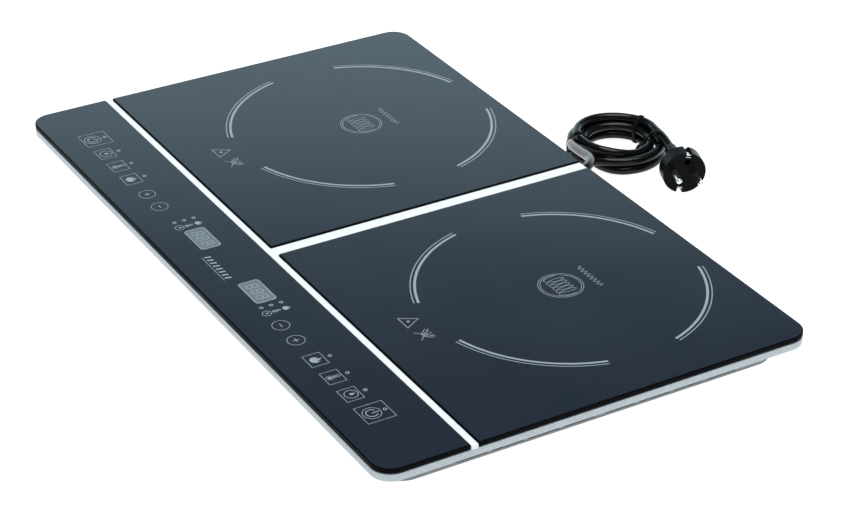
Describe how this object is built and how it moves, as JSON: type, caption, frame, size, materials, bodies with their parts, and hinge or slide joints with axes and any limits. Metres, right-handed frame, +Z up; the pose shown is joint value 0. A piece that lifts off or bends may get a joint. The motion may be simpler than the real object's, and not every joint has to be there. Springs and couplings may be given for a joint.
{
  "type": "double induction cooktop",
  "caption": "Low double induction cooktop: black glass panels in a silver T-divided frame over a shallow vented pan, with touch controls, inner coil units, mains cord and plug.",
  "frame": {"origin": "on the floor, under the middle of the glass top, at the level of the rubber feet", "axes": "+X to the user's right along the front edge, +Y to the back, +Z up"},
  "size_m": [0.6, 0.498, 0.058],
  "materials": {
    "frame_metal": "satin",
    "pan_plastic": "satin",
    "glass_ceramic": "satin",
    "black_silicone": "matte",
    "foot_rubber": "matte",
    "plated_steel": "satin",
    "white_nylon": "satin",
    "black_nylon": "satin",
    "circuit_board": "satin",
    "display_black": "gloss",
    "led_red": "gloss",
    "ribbon_grey": "satin",
    "mica": "matte",
    "copper_litz": "satin",
    "ferrite": "matte",
    "sink_aluminium": "satin",
    "capacitor_film": "gloss",
    "cord_sheath": "gloss",
    "plug_black": "satin",
    "plug_nickel": "polished"
  },
  "bodies": {
    "housing": {"top_frame": "frame_metal", "bottom_pan": "pan_plastic", "control_glass": "glass_ceramic", "cooking_glass_left": "glass_ceramic", "cooking_glass_right": "glass_ceramic", "glass_adhesive": "black_silicone", "foot_front_left": "foot_rubber", "foot_front_right": "foot_rubber", "foot_rear_left": "foot_rubber", "foot_rear_right": "foot_rubber", "case_screws": "plated_steel", "cord_gland": "foot_rubber", "cord_clamp": "white_nylon", "inner_screws": "plated_steel", "terminal_block": "white_nylon", "supply_wires": "copper_litz", "touch_board": "circuit_board", "touch_tray": "white_nylon", "touch_springs": "plated_steel", "display_left": "display_black", "display_right": "display_black", "indicator_leds": "led_red", "buzzer": "black_nylon", "ribbon_cables": "ribbon_grey", "mica_sheet_left": "mica", "mica_sheet_right": "mica", "coil_winding_left": "copper_litz", "coil_winding_right": "copper_litz", "coil_carrier_left": "black_nylon", "coil_carrier_right": "black_nylon", "ferrite_bars_left": "ferrite", "ferrite_bars_right": "ferrite", "glass_sensor_left": "white_nylon", "glass_sensor_right": "white_nylon", "carrier_springs_left": "plated_steel", "carrier_springs_right": "plated_steel", "coil_leads_left": "copper_litz", "coil_leads_right": "copper_litz", "power_board_left": "circuit_board", "power_board_right": "circuit_board", "heat_sink_left": "sink_aluminium", "heat_sink_right": "sink_aluminium", "power_devices_left": "black_nylon", "power_devices_right": "black_nylon", "board_capacitors_left": "capacitor_film", "board_capacitors_right": "capacitor_film", "filter_choke_left": "copper_litz", "filter_choke_right": "copper_litz", "blower_housing_left": "black_nylon", "blower_housing_right": "black_nylon", "mains_cord_lead": "cord_sheath", "cord_coil": "cord_sheath", "mains_cord_tail": "cord_sheath", "cord_ties": "black_nylon", "plug_body": "plug_black", "plug_pins": "plug_nickel", "plug_earth_clips": "plug_nickel"},
    "blower_rotor_left": {"blower_rotor_left": "black_nylon"},
    "blower_rotor_right": {"blower_rotor_right": "black_nylon"}
  },
  "joints": [
    {"name": "blower_spin_left", "type": "hinge", "parent": "housing", "child": "blower_rotor_left", "pos_m": [-0.15313, -0.0575, 0.02], "axis": [0, 0, 1], "continuous": true},
    {"name": "blower_spin_right", "type": "hinge", "parent": "housing", "child": "blower_rotor_right", "pos_m": [0.15313, -0.0575, 0.02], "axis": [0, 0, 1], "continuous": true}
  ]
}
